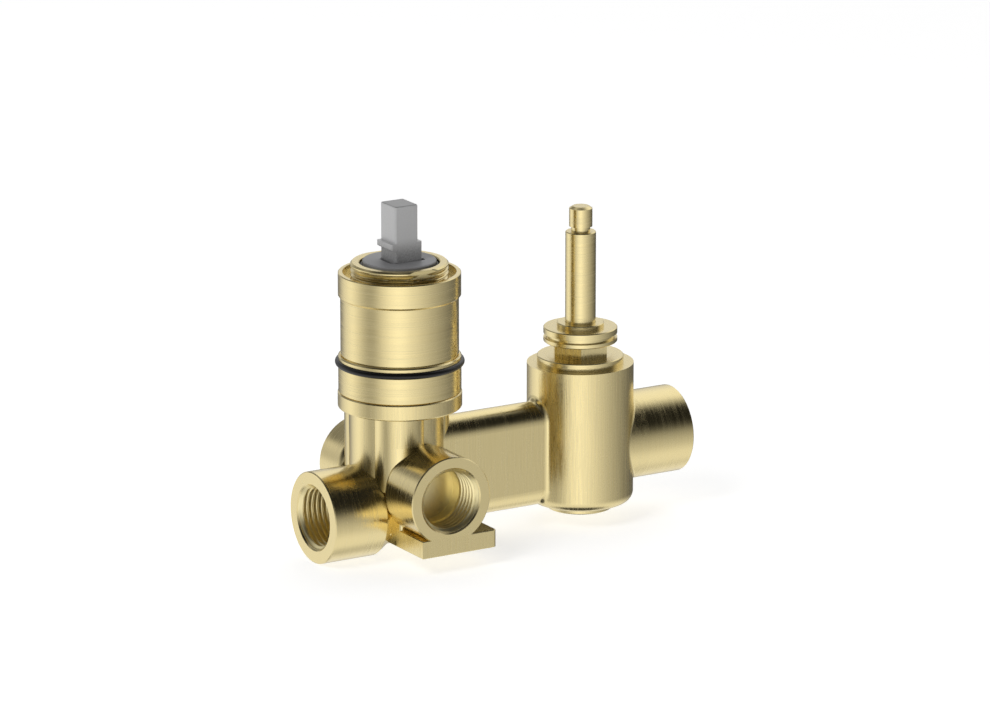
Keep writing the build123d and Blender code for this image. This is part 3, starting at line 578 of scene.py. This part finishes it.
def nut_row(height):
    """One ring of the nut's outside: thread, chamfered top and the two wrench flats."""

    def at(angle):
        wave = thread_wave(height, angle, NUT_PITCH)
        threaded = NUT_R + (NUT_ROOT_R - NUT_R) * wave
        chamfered = NUT_R - max(0.0, NUT_CHAMFER - (NUT_TOP - height))
        flat = NUT_FLAT / max(abs(sin(angle)), SMALLEST_SINE)
        outside = NUT_R if NUT_TOP - height < NUT_PLAIN_COLLAR else threaded
        return min(outside, chamfered, flat), height

    return at


nut_rows = [nut_row(NUT_BOTTOM + (NUT_TOP - NUT_BOTTOM) * row / NUT_ROWS) for row in range(NUT_ROWS + 1)]
nut_rows += [
    fixed_row(NUT_BORE_R + NUT_EDGE, NUT_TOP),
    fixed_row(NUT_BORE_R, NUT_TOP - NUT_EDGE),
    fixed_row(NUT_BORE_R, NUT_BOTTOM),
]
threaded_nut = wall_of_revolution("threaded_retaining_nut", nut_rows, NUT_STEPS, Matrix(), nut_brass)
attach(threaded_nut, "valve")
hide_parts("retaining_nut")

# Directions of the view
view_right = Vector((cos(VIEW_AZIMUTH), -sin(VIEW_AZIMUTH), 0.0))
view_forward = Vector((
    sin(VIEW_AZIMUTH) * cos(VIEW_ELEVATION),
    cos(VIEW_AZIMUTH) * cos(VIEW_ELEVATION),
    -sin(VIEW_ELEVATION),
))
view_up = view_right.cross(view_forward)

camera_data = bpy.data.cameras.new("camera")
camera_data.sensor_width = SENSOR_WIDTH
camera_data.lens = FOCAL_PIXELS * SENSOR_WIDTH / PHOTO_WIDTH
camera_data.clip_end = CLIP_END
camera = bpy.data.objects.new("camera", camera_data)
facing = Matrix((view_right, view_up, -view_forward)).transposed().to_4x4()
stand = (
    VIEW_TARGET
    - view_forward * VIEW_DISTANCE
    + view_right * VIEW_RIGHT_OFFSET
    + view_up * VIEW_UP_OFFSET
)
camera.matrix_world = Matrix.Translation(stand) @ facing
bpy.context.collection.objects.link(camera)
bpy.context.scene.camera = camera

# Studio: bright round the horizon, with two dim gaps, and dark overhead towards the front
studio = bpy.data.worlds.new("studio")
studio.use_nodes = True
tree = studio.node_tree
tree.nodes.clear()
direction = add_node(tree, "ShaderNodeTexCoord").output("Generated")
east, north, height = split(direction)
rightwards = east * cos(VIEW_AZIMUTH) - north * sin(VIEW_AZIMUTH)
towards = east * -sin(VIEW_AZIMUTH) - north * cos(VIEW_AZIMUTH)
round_the_room = rightwards.math("ARCTAN2", rightwards, towards) / tau + 0.5

rise = height.math("ARCSINE", height) / pi + 0.5
ring = ramp(round_the_room, RING, -180, 360, "CARDINAL")
front_glow = ring * ramp(rise, FRONT_RISE, -90, 180, "LINEAR")
back_glow = ramp(rise, BACK_RISE, -90, 180, "LINEAR")
behind = smooth_step(towards, 0.0, BACK_TOWARDS) * smooth_step(rise, BACK_FROM, BACK_FULL)
below = smooth_step(rise, FLOOR_FROM, FLOOR_FULL)
above_floor = front_glow * (1.0 - behind) + back_glow * behind
in_patch = direction.node(
    "ShaderNodeVectorMath", {"operation": "DOT_PRODUCT"}, {0: direction, 1: PATCH_TOWARDS}, output=1
)
patch = smooth_step(in_patch, PATCH_OUTER_COSINE, PATCH_INNER_COSINE)
straight_down = smooth_step(rise, UNDERSIDE_FROM, UNDERSIDE_FULL)
floor_glow = below * (1.0 - straight_down * UNDERSIDE_DIMMING) * FLOOR_GLOW
glow = above_floor * (1.0 - below) * (1.0 - patch * PATCH_DIMMING) + floor_glow
light = glow.node("ShaderNodeBackground", sockets={"Color": glow, "Strength": 1.0})
white = light.node("ShaderNodeBackground", sockets={"Color": grey(1.0), "Strength": 1.0})
seen = light.node("ShaderNodeLightPath").output("Is Camera Ray")
sky = light.node("ShaderNodeMixShader", sockets={0: seen, 1: light, 2: white})
sky.node("ShaderNodeOutputWorld", sockets={"Surface": sky})
bpy.context.scene.world = studio

# Soft key light from the left, in front
lamp_data = bpy.data.lights.new("key light", "AREA")
lamp_data.shape = "DISK"
lamp_data.size = KEY_SIZE
lamp_data.energy = KEY_WATTS
lamp = bpy.data.objects.new("key light", lamp_data)
lamp.location = VIEW_TARGET - view_forward * KEY_NEARER - view_right * KEY_LEFT + Vector((0, 0, KEY_UP))
lamp.rotation_euler = (VIEW_TARGET - lamp.location).to_track_quat("-Z", "Y").to_euler()
lamp.visible_glossy = False
bpy.context.collection.objects.link(lamp)

# Pale floor: white to the camera apart from the object's soft shadow
floor_material, _ = new_material("pale floor")
floor_tree = floor_material.node_tree
matt = add_node(floor_tree, "ShaderNodeBsdfDiffuse", sockets={"Color": grey(FLOOR_GREY)})
own_light = matt.node("ShaderNodeEmission", sockets={"Color": grey(1.0), "Strength": FLOOR_OWN_LIGHT})
both = matt.node("ShaderNodeAddShader", sockets={0: matt, 1: own_light})
by_camera = matt.node("ShaderNodeLightPath").output("Is Camera Ray")
floor_look = matt.node("ShaderNodeMixShader", sockets={0: by_camera, 1: matt, 2: both})
floor_look.node("ShaderNodeOutputMaterial", sockets={"Surface": floor_look})
floor_mesh = bpy.data.meshes.new("floor")
corners = [
    (x * FLOOR_HALF, y * FLOOR_HALF, FLOOR_Z) for x, y in ((-1, -1), (1, -1), (1, 1), (-1, 1))
]
floor_mesh.from_pydata(corners, [], [(0, 1, 2, 3)])
floor_mesh.materials.append(floor_material)
floor = bpy.data.objects.new("floor", floor_mesh)
floor.visible_glossy = False
bpy.context.collection.objects.link(floor)

bpy.context.scene.view_settings.view_transform = "Standard"
